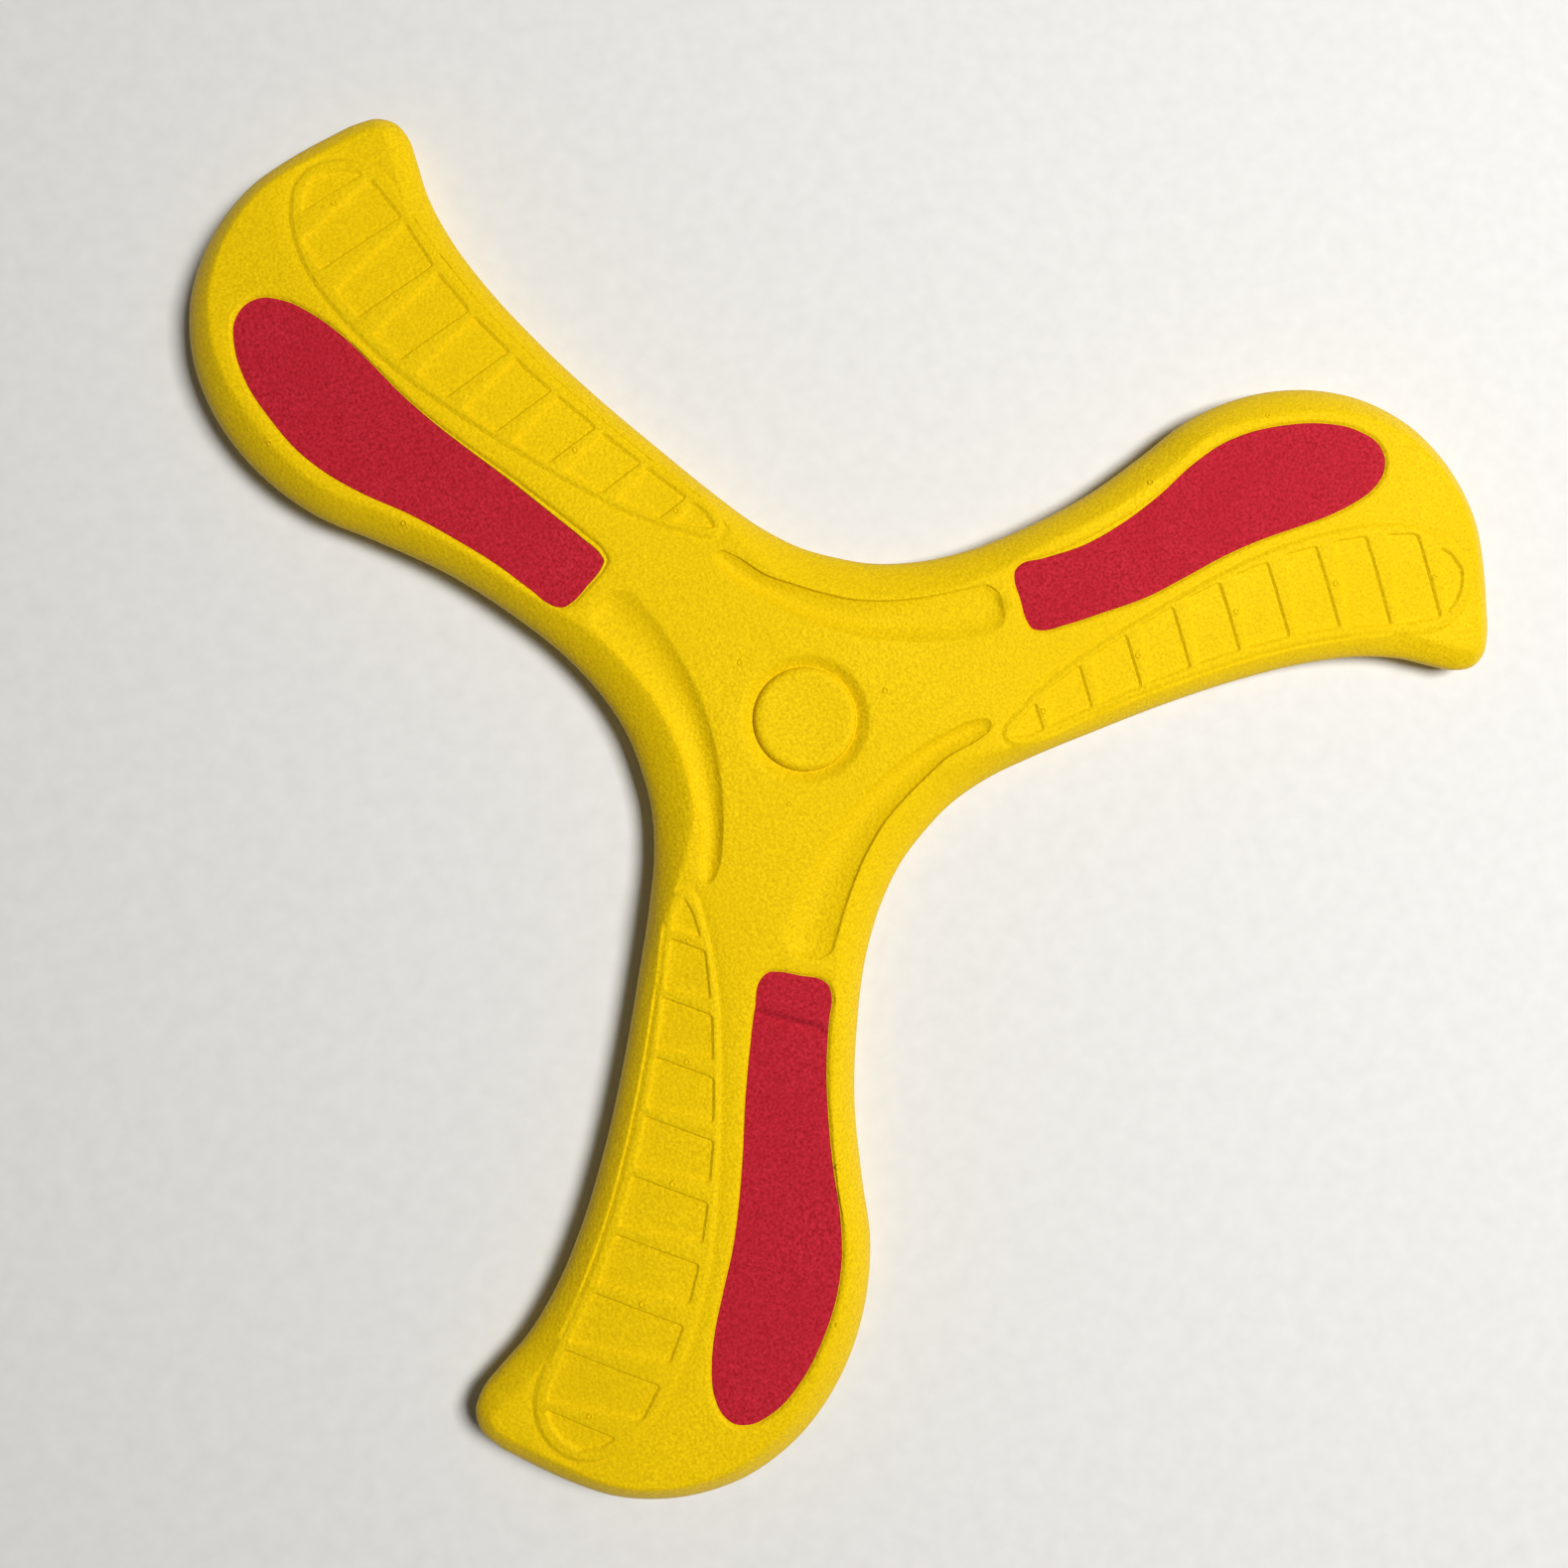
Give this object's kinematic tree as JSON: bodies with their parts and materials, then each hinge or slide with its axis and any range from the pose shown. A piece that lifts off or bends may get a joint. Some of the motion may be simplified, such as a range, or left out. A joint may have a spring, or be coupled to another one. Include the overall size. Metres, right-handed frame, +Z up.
{
  "type": "three-wing soft foam boomerang",
  "caption": "Right-handed soft foam boomerang with hooked wings around a round hub, red inlays seated in pockets, and moulded ladder panels and crescent scoops.",
  "frame": {"origin": "on the hub axis, at the flat underside", "axes": "+Z up out of the face with the inlays, +X along the middle of wing 1, whose thick leading edge is on the +Y side"},
  "size_m": [0.2401, 0.2634, 0.012],
  "materials": {
    "yellow_foam": "matte moulded skin with a fine pebbled grain",
    "disc_foam": "matte, coarser grain than the body",
    "red_foam": "matte die-cut foam sheet",
    "adhesive": "thin double-sided adhesive film"
  },
  "bodies": {
    "root": {"foam_body": "yellow_foam", "hub_disc": "disc_foam", "hub_disc_film": "adhesive", "inlay_1": "red_foam", "inlay_2": "red_foam", "inlay_3": "red_foam", "inlay_film_1": "adhesive", "inlay_film_2": "adhesive", "inlay_film_3": "adhesive"}
  },
  "joints": []
}
